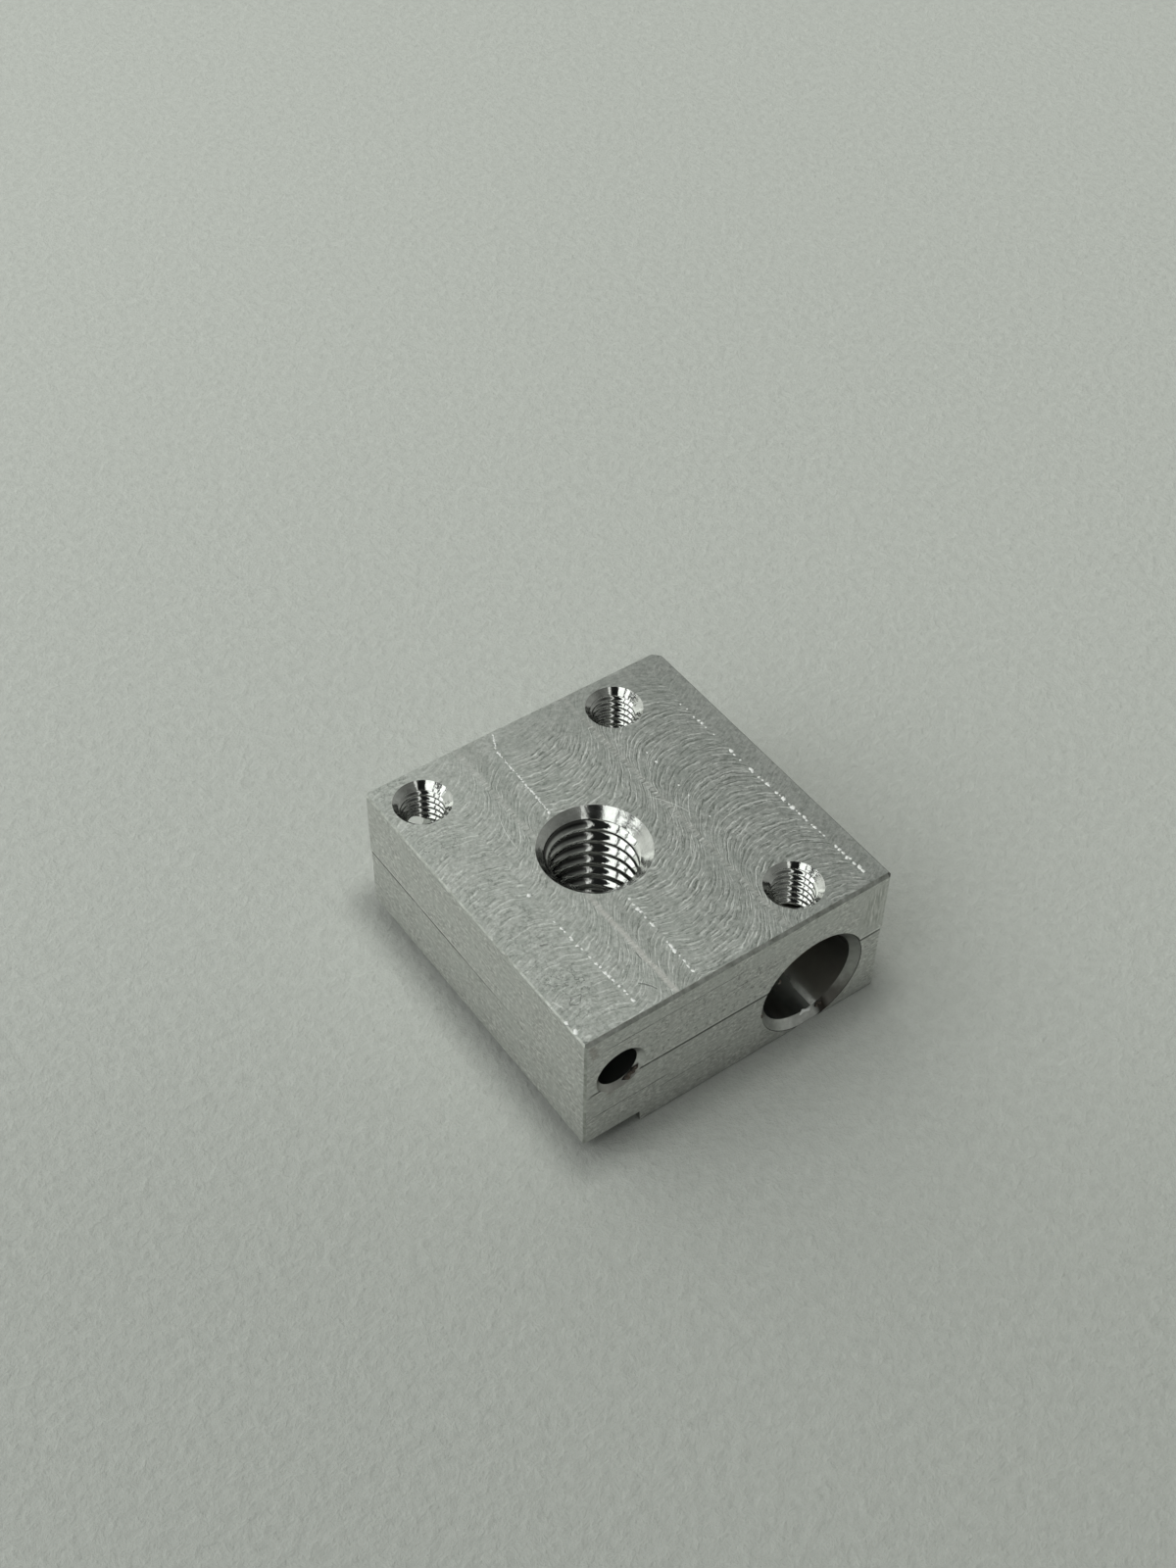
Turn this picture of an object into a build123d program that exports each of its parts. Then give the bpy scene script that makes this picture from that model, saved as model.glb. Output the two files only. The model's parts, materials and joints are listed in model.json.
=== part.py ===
from build123d import *
import os

# Machined mounting block of an extruder's hot end, one piece of aluminium milled on all sides.
# A large tapped hole takes the nozzle, two cross bores take a cartridge heater and a
# temperature sensor, and three small tapped holes take the set screws that hold those two.
# Millimetres, +Z up.  The origin is the centre of the footprint, on the surface that the block
# stands on.  "Front" is the -Y face, "left" the -X face.  Tapped holes are at their minor diameter.

# Block
block_width = 21.0
block_depth = 22.0
block_height = 9.85

# The upper part of the sides was milled with the block the one way up and the lower part with it
# turned over, so the two meet in a small step all round.
setup_height = 5.2
setup_mismatch = 0.05

# Strip milled away under the left side
relief_width = 3.9
relief_height = 0.8

# Broken edges
front_top_break = 0.2
top_break = 0.1
bottom_break = 0.08
side_break = 0.12
back_left_break = 0.25
back_right_break = 0.45

# Tapped hole for the nozzle, M6
nozzle_radius = 2.5
nozzle_mouth_radius = 3.35
nozzle_from_left = 8.45

# Tapped holes for the set screws, M3
screw_radius = 1.25
screw_mouth_radius = 1.75
screw_from_end = 2.5

# Cross bore for the heater
heater_radius = 3.15
heater_chamfer = 0.55
heater_from_right = 5.05
heater_floor = 0.45

# Cross bore for the temperature sensor
sensor_radius = 1.3
sensor_chamfer = 0.35
sensor_from_left = 2.4
sensor_height = 5.95

# How far the cutting tools run past the surface that they enter or leave
tool_overrun = 1.0

# Places that follow from the sizes above
left_face = -block_width / 2
right_face = block_width / 2
front_face = -block_depth / 2
back_face = block_depth / 2
nozzle_x = left_face + nozzle_from_left
sensor_x = left_face + sensor_from_left
heater_x = right_face - heater_from_right
heater_height = heater_floor + heater_radius
front_screw_y = front_face + screw_from_end
back_screw_y = back_face - screw_from_end


def plan_outline(inset):
    """Outline of the block from above, drawn in by an inset, with its four corners broken."""
    outline = Rectangle(block_width - 2 * inset, block_depth - 2 * inset)
    front_left, back_left, front_right, back_right = outline.vertices().sort_by(
        lambda corner: (corner.X > 0) * 2 + (corner.Y > 0))
    outline = chamfer([front_left, front_right], side_break)
    corners = outline.vertices()
    outline = chamfer(corners.sort_by_distance(Vector(left_face, back_face, 0))[0], back_left_break)
    corners = outline.vertices()
    return chamfer(corners.sort_by_distance(Vector(right_face, back_face, 0))[0], back_right_break)


def relief():
    """The strip that is milled away along the left side of the underside."""
    strip = Box(relief_width + tool_overrun, block_depth + 2 * tool_overrun,
                relief_height + tool_overrun, align=(Align.MAX, Align.CENTER, Align.MAX))
    return Pos(left_face + relief_width, 0, relief_height) * strip


def milled_blank():
    """The block with its step between the two set-ups, its relief and its broken edges."""
    upper = Pos(0, 0, setup_height) * extrude(plan_outline(0), block_height - setup_height)
    lower = extrude(plan_outline(setup_mismatch), setup_height)
    blank = upper + lower - relief()
    front_edge = blank.edges().filter_by(Axis.X).group_by(Axis.Z)[-1].sort_by(Axis.Y)[0]
    blank = chamfer(front_edge, front_top_break)
    top_edges = blank.faces().sort_by(Axis.Z)[-1].edges().sort_by(Axis.Y)[1:]
    blank = chamfer(top_edges, top_break)
    foot, relief_floor = blank.faces().filter_by(Axis.Z).sort_by(Axis.Z)[:2]
    relief_edges = relief_floor.edges().sort_by(Axis.X)[:-1]
    return chamfer(foot.edges() + relief_edges, bottom_break)


def conical_mouth(bore_radius, mouth_radius):
    """A 90 degree countersink at the origin, opening along +Z from the surface at height 0."""
    depth = mouth_radius - bore_radius
    return Pos(0, 0, -depth) * Cone(bore_radius, mouth_radius + tool_overrun, depth + tool_overrun,
                                    align=(Align.CENTER, Align.CENTER, Align.MIN))


def nozzle_hole():
    """The large hole, right through and countersunk at both ends."""
    bore = Cylinder(nozzle_radius, block_height + 2 * tool_overrun)
    mouth = conical_mouth(nozzle_radius, nozzle_mouth_radius)
    middle = block_height / 2
    hole = bore + Pos(0, 0, middle) * mouth + Rot(180, 0, 0) * Pos(0, 0, middle) * mouth
    return Pos(nozzle_x, 0, middle) * hole


def screw_hole(x, y, bore_axis_height):
    """A countersunk hole from the top face down to the axis of the cross bore below it."""
    depth = block_height - bore_axis_height
    shaft = Cylinder(screw_radius, depth, align=(Align.CENTER, Align.CENTER, Align.MAX))
    return Pos(x, y, block_height) * (shaft + conical_mouth(screw_radius, screw_mouth_radius))


def cross_bore(x, height, radius, mouth_chamfer):
    """A bore from the front face to the back face with a chamfer at each mouth."""
    bore = Cylinder(radius, block_depth + 2 * tool_overrun)
    mouth = Pos(0, 0, block_depth / 2) * conical_mouth(radius, radius + mouth_chamfer)
    return Pos(x, 0, height) * Rot(90, 0, 0) * (bore + mouth + Rot(180, 0, 0) * mouth)


def heater_block():
    """The finished block."""
    block = milled_blank()
    block -= nozzle_hole()
    block -= cross_bore(heater_x, heater_height, heater_radius, heater_chamfer)
    block -= cross_bore(sensor_x, sensor_height, sensor_radius, sensor_chamfer)
    block -= screw_hole(heater_x, front_screw_y, heater_height)
    block -= screw_hole(heater_x, back_screw_y, heater_height)
    block -= screw_hole(sensor_x, back_screw_y, sensor_height)
    return block


os.makedirs("parts", exist_ok=True)
export_step(heater_block(), "parts/heater_block.step")
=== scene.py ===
"""Dressed model of a machined mounting block, the heated aluminium block of an extruder.

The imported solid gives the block's sizes.  Here its four tapped holes get their threads, its faces
get the marks of the cutters that made them, and its edges get small burrs and grains.  Metres, +Z
up, with the front of the block on the -Y side.
"""
import json
import logging
import math
from dataclasses import dataclass, field
from enum import Enum, IntEnum
from typing import Any, Sequence

import bpy
import numpy as np
from mathutils import Matrix, Vector


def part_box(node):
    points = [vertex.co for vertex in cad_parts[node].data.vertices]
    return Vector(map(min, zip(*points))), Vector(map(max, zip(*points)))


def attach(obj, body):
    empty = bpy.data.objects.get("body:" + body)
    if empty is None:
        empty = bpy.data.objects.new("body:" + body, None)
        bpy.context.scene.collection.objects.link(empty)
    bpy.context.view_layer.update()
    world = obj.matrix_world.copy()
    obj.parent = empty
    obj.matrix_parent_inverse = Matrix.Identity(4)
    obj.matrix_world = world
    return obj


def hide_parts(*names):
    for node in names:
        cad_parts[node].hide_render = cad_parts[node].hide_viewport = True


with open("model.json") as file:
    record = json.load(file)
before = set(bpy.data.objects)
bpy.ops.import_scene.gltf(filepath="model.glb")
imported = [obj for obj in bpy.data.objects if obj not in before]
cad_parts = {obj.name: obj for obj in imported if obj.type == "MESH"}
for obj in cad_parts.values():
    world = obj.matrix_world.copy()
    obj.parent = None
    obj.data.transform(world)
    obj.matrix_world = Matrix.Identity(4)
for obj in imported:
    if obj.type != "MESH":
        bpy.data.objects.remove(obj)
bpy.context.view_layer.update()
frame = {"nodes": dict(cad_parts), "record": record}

MM = 0.001
LOG = logging.getLogger("mounting_block")
NODE = "heater_block"


# ---------------------------------------------------------------------------------- helpers


def linear(code: str) -> tuple[float, float, float, float]:
    """Turns an sRGB hex colour into linear light.

    Args:
        code: colour as "#rrggbb".

    Returns:
        Red, green, blue and an alpha of one.
    """
    parts = [int(code[i : i + 2], 16) / 255.0 for i in (1, 3, 5)]
    light = [p / 12.92 if p <= 0.04045 else ((p + 0.055) / 1.055) ** 2.4 for p in parts]
    return (light[0], light[1], light[2], 1.0)


def put(
    tree: bpy.types.NodeTree,
    kind: str,
    inputs: Sequence[Any] | dict[Any, Any] = (),
    out: Any = 0,
    **settings: Any,
) -> Any:
    """Adds one node with its settings, input values and input links.

    Args:
        tree: node tree that gets the node.
        kind: node type without its "ShaderNode" prefix.
        inputs: sockets to link and values to set, in the node's order with None for one that is
            left alone, or by name or number.
        out: name or number of the output that is handed back.
        **settings: attributes of the node itself.

    Returns:
        The chosen output socket, or the node where it has no outputs.
    """
    node = tree.nodes.new("ShaderNode" + kind)
    for name, value in settings.items():
        setattr(node, name, value)
    pairs = inputs.items() if isinstance(inputs, dict) else enumerate(inputs)
    for key, value in pairs:
        if isinstance(value, bpy.types.NodeSocket):
            tree.links.new(value, node.inputs[key])
        elif value is not None:
            node.inputs[key].default_value = value
    return node.outputs[out] if len(node.outputs) else node


def mesh_from_grid(points: np.ndarray, wrap_rows: bool, wrap_columns: bool) -> tuple[np.ndarray, np.ndarray]:
    """Lists the corners and four-sided faces of a grid of points.

    Args:
        points: array of shape rows, columns, 3.
        wrap_rows: joins the last row to the first.
        wrap_columns: joins the last column to the first.

    Returns:
        Corner array and face array.
    """
    rows, columns = points.shape[:2]
    i = np.arange(rows if wrap_rows else rows - 1)[:, None]
    j = np.arange(columns if wrap_columns else columns - 1)[None, :]
    a = i * columns + j
    b = i * columns + (j + 1) % columns
    c = ((i + 1) % rows) * columns + (j + 1) % columns
    d = ((i + 1) % rows) * columns + j
    return points.reshape(-1, 3), np.stack([a, b, c, d], -1).reshape(-1, 4)


def make_object(
    name: str, points: np.ndarray, faces: list[np.ndarray], smooth: bool = True
) -> bpy.types.Object:
    """Makes a mesh object at the origin from arrays of corners and faces.

    Args:
        name: name of the object and its mesh.
        points: corner positions in metres.
        faces: face arrays, one for each number of corners.
        smooth: shades the faces smooth.

    Returns:
        The new object, linked to the scene.
    """
    mesh = bpy.data.meshes.new(name)
    mesh.from_pydata(points, [], [row for block in faces for row in block.tolist()])
    mesh.polygons.foreach_set("use_smooth", np.full(len(mesh.polygons), smooth))
    mesh.update()
    made = bpy.data.objects.new(name, mesh)
    bpy.context.scene.collection.objects.link(made)
    return made


def read(items: Any, name: str, width: int = 3, kind: type = float) -> np.ndarray:
    """Reads one attribute of a mesh's vertices, corners or faces.

    Args:
        items: the vertices, corners or faces.
        name: name of the attribute.
        width: how many numbers each item has.
        kind: type of the numbers.

    Returns:
        Array with one row for each item.
    """
    values = np.empty(len(items) * width, dtype=kind)
    items.foreach_get(name, values)
    return values.reshape(-1, width)


def place(name: str) -> np.ndarray:
    """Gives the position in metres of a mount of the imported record."""
    mounts = {m["name"]: m for m in frame["record"]["mounts"]}
    return np.array(mounts[name]["pos_m"])


def radius_of(name: str) -> float:
    """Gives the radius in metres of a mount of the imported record."""
    mounts = {m["name"]: m for m in frame["record"]["mounts"]}
    return mounts[name]["dims"]["r_mm"] * MM


LOW, HIGH = (np.array(corner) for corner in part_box(NODE))


# --------------------------------------------------------------------------------- finishes


@dataclass(frozen=True)
class MillPass:
    """One pass of the face mill across the top, measured from the left face in millimetres.

    The cutter moves along Y and leaves arcs.  middle and radius are those of the arc, and bow is
    1 where the arcs are hollow towards the back and -1 where they are hollow towards the front.
    """

    start: float
    middle: float
    radius: float
    bow: float


@dataclass(frozen=True)
class Stroke:
    """A scratch, nick, line or stain on a face: two ends and a half width in millimetres.

    bend is how far its middle stands aside from the straight line between the ends.
    """

    start: tuple[float, float]
    end: tuple[float, float]
    width: float
    bend: float = 0.0


class Finish:
    """A procedural finish.  Sub-classes paint its colour, gloss and relief."""

    name = "finish"

    def __init__(self) -> None:
        """Makes the material with a position in millimetres, and paints it."""
        self.material = bpy.data.materials.new(self.name)
        self.material.use_nodes = True
        self.tree = self.material.node_tree
        self.tree.nodes.clear()
        where = put(self.tree, "TexCoord", out="Object")
        corner = tuple(-float(v) / MM for v in LOW)
        # Millimetres from the left, front and bottom faces.
        self.spot = put(self.tree, "Mapping", {0: where, 1: corner, 3: (1 / MM,) * 3})
        split = put(self.tree, "SeparateXYZ", [self.spot]).node
        self.x, self.y, self.z = split.outputs
        self.paint()

    def paint(self) -> None:
        """Builds the nodes of the finish."""
        raise NotImplementedError

    def cover(self, tone: Any, mask: Any, code: str, strength: float = 1.0) -> bpy.types.NodeSocket:
        """Covers a tone with a colour wherever a mask is high.

        Args:
            tone: colour socket or value underneath.
            mask: socket from nought to one.
            code: covering colour as sRGB hex.
            strength: how much of it shows where the mask is one.

        Returns:
            Colour socket.
        """
        share = put(self.tree, "Math", [mask, strength], operation="MULTIPLY", use_clamp=True)
        sockets = {0: share, 6: tone, 7: linear(code)}
        return put(self.tree, "Mix", sockets, out=2, data_type="RGBA")

    def coats(self, tone: Any, *layers: tuple[Any, ...]) -> Any:
        """Lays coats of colour over each other.

        Args:
            tone: colour socket or value underneath.
            *layers: a mask and a colour as hex for each coat, and a strength where it is thin.

        Returns:
            Colour socket.
        """
        for layer in layers:
            tone = self.cover(tone, *layer)
        return tone

    def fold(self, operation: str, values: Sequence[Any]) -> Any:
        """Joins values into one, two at a time.

        Args:
            operation: name of the arithmetic that joins two.
            values: sockets and numbers, the first a socket.

        Returns:
            Joined socket.
        """
        joined = values[0]
        for value in values[1:]:
            joined = put(self.tree, "Math", [joined, value], operation=operation)
        return joined

    def product(self, *values: Any) -> Any:
        """Multiplies values, so that masks give one only where all of them do."""
        return self.fold("MULTIPLY", values)

    def largest(self, *values: Any) -> Any:
        """Takes the largest of several values at each point."""
        return self.fold("MAXIMUM", values)

    def total(self, base: Any, *terms: tuple[Any, float]) -> Any:
        """Adds values to a base, each times its share.

        Args:
            base: socket or number to start from.
            *terms: pairs of a socket and its share.

        Returns:
            Socket of the sum.
        """
        for value, share in terms:
            base = put(self.tree, "Math", [value, share, base], operation="MULTIPLY_ADD")
        return base

    def patches(
        self,
        where: Any,
        noise: tuple[float, float, float],
        span: tuple[float, float],
        gives: tuple[float, float] = (0.0, 1.0),
    ) -> bpy.types.NodeSocket:
        """Spreads irregular patches: a noise with the middle of its range stretched.

        Args:
            where: position socket.
            noise: scale, which is patches to the millimetre, detail and roughness of the noise.
            span: noise values that give the first and the last result.
            gives: first and last result.

        Returns:
            Socket between the two results.
        """
        blot = put(self.tree, "TexNoise", [where, None, *noise])
        return put(self.tree, "MapRange", [blot, *span, *gives])

    def window(self, value: Any, low: float, high: float, soft: float) -> bpy.types.NodeSocket:
        """Gives one where a value lies between two limits, falling off softly outside them.

        Args:
            value: socket to test.
            low: lower limit.
            high: upper limit.
            soft: width of the fall.

        Returns:
            Socket from nought to one.
        """
        rise = put(self.tree, "MapRange", [value, low - soft, low])
        fall = put(self.tree, "MapRange", [value, high, high + soft, 1.0, 0.0])
        return self.product(rise, fall)

    def around(self, hole: str, across: tuple[float, float, float]) -> tuple[Any, Any]:
        """Measures from the axis of a hole.

        Args:
            hole: mount on the axis.
            across: one for each direction across the axis, and nought for the one along it.

        Returns:
            Sockets of the offset from the axis and of its length, in millimetres.
        """
        middle = tuple((place(hole) - LOW) / MM)
        off = put(self.tree, "VectorMath", [self.spot, middle], operation="SUBTRACT")
        off = put(self.tree, "VectorMath", [off, across], operation="MULTIPLY")
        return off, put(self.tree, "VectorMath", [off], out="Value", operation="LENGTH")

    def stroke_mask(self, across: Any, along: Any, mark: Stroke) -> bpy.types.NodeSocket:
        """Gives one on a curved stroke and nought off it.

        The distance is taken from the middle line of the stroke, moved sideways by a parabola of
        height bend, and wobbled by a fine noise so that the stroke is ragged.

        Args:
            across: first coordinate socket in millimetres.
            along: second coordinate socket in millimetres.
            mark: the stroke.

        Returns:
            Socket from nought to one.
        """
        tree = self.tree
        (x0, y0), (x1, y1) = mark.start, mark.end
        half = math.hypot(x1 - x0, y1 - y0) / 2
        angle = math.atan2(y1 - y0, x1 - x0)
        middle = ((x0 + x1) / 2, (y0 + y1) / 2, 0)
        flat = put(tree, "CombineXYZ", [across, along])
        moved = put(tree, "VectorMath", [flat, middle], operation="SUBTRACT")
        turned = put(tree, "VectorRotate", {0: moved, 3: -angle}, rotation_type="Z_AXIS")
        split = put(tree, "SeparateXYZ", [turned]).node
        share = self.product(split.outputs[0], 1 / half)
        square = self.product(share, share)
        bow = self.total(mark.bend, (square, -mark.bend))
        rough = put(tree, "TexNoise", [self.spot, None, 5.0, 2.0])
        wobble = self.total(-0.9 * mark.width, (rough, 1.8 * mark.width))
        side = put(tree, "Math", [split.outputs[1], bow], operation="SUBTRACT")
        side = put(tree, "Math", [side, wobble], operation="ADD")
        gap = put(tree, "Math", [side], operation="ABSOLUTE")
        thin = put(tree, "MapRange", [gap, mark.width * 0.4, mark.width, 1.0, 0.0])
        ends = put(tree, "MapRange", [square, 0.45, 1.0, 1.0, 0.0])
        return self.product(thin, ends)

    def strokes(self, across: Any, along: Any, marks: Sequence[Stroke]) -> Any:
        """Joins the masks of several strokes."""
        return self.largest(*[self.stroke_mask(across, along, mark) for mark in marks])

    def surface(
        self, colour: Any, gloss: Any, height: Any = None, depth: float = 0.0, metallic: Any = 1.0
    ) -> None:
        """Ends the tree in an opaque surface.

        Args:
            colour: base colour socket or value.
            gloss: roughness socket or value.
            height: relief socket from nought to one, or None for a smooth surface.
            depth: full height of the relief in metres.
            metallic: share of bare metal, socket or value.
        """
        inputs = {"Base Color": colour, "Metallic": metallic, "Roughness": gloss}
        if height is not None:
            inputs["Normal"] = put(self.tree, "Bump", {"Height": height, "Distance": depth})
        put(self.tree, "OutputMaterial", [put(self.tree, "BsdfPrincipled", inputs)])


class FaceMilled(Finish):
    """Aluminium cut by a small face mill run along Y in overlapping passes.

    Each pass leaves arcs, a third of a millimetre apart, that swing one way in one pass and the
    other way in the next, so the eye sees slow S curves.  The surface is a soft satin grey.
    Pitches and the width that the passes cover are in millimetres.
    """

    name = "face_milled_aluminium"
    pitch = 0.37
    fine_pitch = 0.29
    relief = 0.014 * MM
    span = 24.0
    passes = (
        MillPass(0.0, 1.6, 4.2, -1.0),
        MillPass(3.65, 2.9, 3.25, 1.0),
        MillPass(6.25, 9.3, 3.3, -1.0),
        MillPass(7.85, 9.6, 4.3, 1.0),
        MillPass(13.9, 17.2, 3.4, -1.0),
        MillPass(19.55, 18.0, 5.0, 1.0),
    )
    nicks = (
        Stroke((4.72, 1.95), (5.42, 0.9), 0.06, 0.1),
        Stroke((1.9, 7.0), (2.4, 6.8), 0.09),
        Stroke((5.93, 3.7), (5.9, 3.0), 0.045),
        Stroke((0.9, 2.75), (1.35, 3.15), 0.035),
        Stroke((1.35, 3.15), (1.9, 3.0), 0.035),
        Stroke((1.9, 3.0), (1.4, 2.5), 0.035),
        Stroke((1.4, 2.5), (0.9, 2.75), 0.035),
        Stroke((0.02, 0.42), (0.5, 0.16), 0.1),
    )
    scratches = (
        Stroke((11.45, 6.45), (13.2, 7.85), 0.05, -0.12),
        Stroke((15.1, 8.35), (19.4, 8.1), 0.05, 0.55),
        Stroke((14.2, 9.6), (15.6, 11.6), 0.04, 0.1),
        Stroke((12.6, 7.4), (13.9, 9.0), 0.035, 0.1),
        Stroke((13.2, 12.6), (14.6, 9.9), 0.04, 0.2),
        Stroke((13.0, 10.2), (14.9, 11.9), 0.035, -0.15),
        Stroke((0.25, 0.6), (0.75, 0.5), 0.13),
        Stroke((0.2, 3.5), (0.5, 2.7), 0.08, 0.1),
        Stroke((4.9, 13.1), (5.5, 16.3), 0.03, 0.2),
    )

    def lay(self) -> tuple[Any, Any]:
        """Finds how far along its pass the cutter was at each point.

        A furrow is the circle y = c + bow * (radius - sqrt(radius^2 - (x - middle)^2)), so the
        value c, the feed, is constant along it.  A slow noise of a third of a millimetre either
        way is added, so that no furrow is a true circle.

        Returns:
            Sockets of the feed and of the middle of the pass, both in millimetres.
        """
        tree, span = self.tree, self.span
        share = put(tree, "Math", [self.x, span], operation="DIVIDE")
        ramp = put(tree, "ValToRGB", [share]).node
        ramp.color_ramp.interpolation = "CONSTANT"
        stops = ramp.color_ramp.elements
        while len(stops) < len(self.passes):
            stops.new(1.0)
        for stop, cut in zip(stops, self.passes):
            stop.position = cut.start / span
            stop.color = (cut.middle / span, cut.radius / span, cut.bow / 2 + 0.5, 1.0)
        facts = put(tree, "SeparateColor", [ramp.outputs[0]]).node.outputs
        middle, radius = self.product(facts[0], span), self.product(facts[1], span)
        bow = self.total(-1.0, (facts[2], 2.0))
        off = put(tree, "Math", [self.x, middle], operation="SUBTRACT")
        off = put(tree, "Math", [off, radius], operation="DIVIDE")
        # Short of the end of the circle, past which it has no height.
        off = put(tree, "MapRange", [off, -0.94, 0.94, -0.94, 0.94])
        rest = put(tree, "Math", [1.0, self.product(off, off)], operation="SUBTRACT")
        root = put(tree, "Math", [rest], operation="SQRT")
        sag = put(tree, "Math", [1.0, root], operation="SUBTRACT")
        feed = put(tree, "Math", [self.y, self.product(sag, radius, bow)], operation="SUBTRACT")
        sway = put(tree, "TexNoise", [self.spot, None, 0.5, 2.0, 0.5])
        sway = self.total(-0.35, (sway, 0.7))
        return put(tree, "Math", [feed, sway], operation="ADD"), middle

    def furrows(self, feed: Any, middle: Any, pitch: float, shift: float) -> list[Any]:
        """Draws furrows a pitch apart, a thin ridge and a thin groove, for painted light and shade.

        Each furrow has its own noise along X, so it starts and stops every millimetre or two.

        Args:
            feed: feed socket in millimetres.
            middle: middle of the pass.
            pitch: distance between furrows in millimetres.
            shift: moves the noises, so that two families of furrows differ.

        Returns:
            Sockets of the ridges and of the grooves, from nought to one.
        """
        tree = self.tree
        moved = put(tree, "VectorMath", [self.spot, (shift, 0.0, shift)], operation="ADD")
        waver = put(tree, "TexNoise", [moved, None, 0.9, 4.0, 0.6])
        row = self.total(shift, (feed, 1 / pitch), (waver, 1.7))
        part = put(tree, "Math", [row], operation="FRACT")
        number = put(tree, "Math", [row], operation="FLOOR")
        run, lane = self.product(self.x, 0.95), self.product(middle, 7.3)
        broken = self.patches(moved, (3.4, 3.0, 0.6), (0.36, 0.52), (0.15, 1.0))
        masks = []
        # The ridge and the groove lie in different shares of the pitch, each with its own noise.
        for low, high, far in ((0.26, 0.36, 0.0), (0.58, 0.66, 41.0)):
            along = put(tree, "CombineXYZ", [self.total(far, (number, 5.7)), run, lane])
            there = self.patches(along, (1.0, 2.0, 0.5), (0.44, 0.6))
            masks.append(self.product(there, broken, self.window(part, low, high, 0.14)))
        return masks

    def paint(self) -> None:
        """Lays down the furrows, the seams between passes, scratches, nicks and the slow tone."""
        tree = self.tree
        feed, middle = self.lay()
        # Plain feed marks, and finer ones that show between them in patches.
        ridges, grooves = self.furrows(feed, middle, self.pitch, 0.0)
        fine_ridges, fine_grooves = self.furrows(feed, middle, self.fine_pitch, 17.0)
        patch = self.patches(self.spot, (0.4, 3.0, 0.55), (0.35, 0.65))
        vigour = self.patches(self.spot, (0.8, 2.0, 0.5), (0.36, 0.6), (0.35, 1.0))
        faint = self.total(0.75, (vigour, -0.3))
        # The left pass and the right and back edges are smoother.
        force = put(tree, "MapRange", [self.x, 2.5, 10.0, 0.4, 1.6])
        inside = self.window(self.x, -1.0, 19.3, 0.5), self.window(self.y, -1.0, 18.5, 2.0)
        force = self.total(0.35, (self.product(force, *inside), 0.65))
        vigour, faint = self.product(vigour, force), self.product(faint, force)
        grain = put(tree, "TexNoise", [self.spot, None, 3.6, 5.0, 0.75])
        # The ridges get a painted highlight and the grooves painted shade, as well as their relief.
        rows = self.total(
            -0.27,
            (grain, 1.3),
            (self.product(ridges, vigour), 0.55),
            (self.product(grooves, vigour), -0.42),
            (self.product(fine_ridges, faint), 0.6),
            (self.product(fine_grooves, faint), -0.45),
        )
        # Where two passes meet there is a shallow line, plainest between the second and third.
        bent = put(tree, "TexNoise", [self.spot, None, 0.8, 3.0])
        bent = self.total(self.x, (bent, 0.3))
        front = put(tree, "MapRange", [self.y, 7.0, 9.0, 1.0, 0.3])
        near = self.product(self.window(bent, 6.2, 6.35, 0.14), front)
        far = self.product(self.window(bent, 14.0, 14.05, 0.2), 0.3)
        seam = self.largest(near, far)
        beside = self.window(bent, 6.6, 7.4, 0.3)
        dark = self.strokes(self.x, self.y, self.nicks)
        light = self.strokes(self.x, self.y, self.scratches)
        # A net of short dark tears near the left edge lies where a noise crosses its middle value.
        torn = put(tree, "TexNoise", [self.spot, None, 1.7, 3.0, 0.6])
        torn = put(tree, "Math", [torn, 0.5], operation="SUBTRACT")
        torn = put(tree, "Math", [torn], operation="ABSOLUTE")
        torn = put(tree, "MapRange", [torn, 0.006, 0.03, 1.0, 0.0])
        torn = self.product(self.window(self.x, 0.5, 2.6, 0.5), patch, torn)
        tone = self.coats(linear("#878b86"), (rows, "#fbfcfa"), (patch, "#b0b6b1", 0.3))
        # The top grows darker towards the right.  The paint takes a share of that fall of light.
        falling = put(tree, "MapRange", [self.x, 2.0, 19.0, 1.0, 0.72])
        tone = put(tree, "VectorMath", {0: tone, 3: falling}, operation="SCALE")
        tone = self.coats(
            tone,
            (beside, "#8f928d", 0.2),
            (seam, "#dbd8d5", 0.55),
            (light, "#f6f7f5", 0.5),
            (torn, "#5d5f5b", 0.6),
            (dark, "#4f514e", 0.5),
        )
        gloss = put(tree, "MapRange", [grain, 0.3, 0.7, 0.34, 0.44])
        height = self.total(rows, (dark, -1.0), (light, 0.5))
        self.surface(tone, gloss, height, self.relief)


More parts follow.
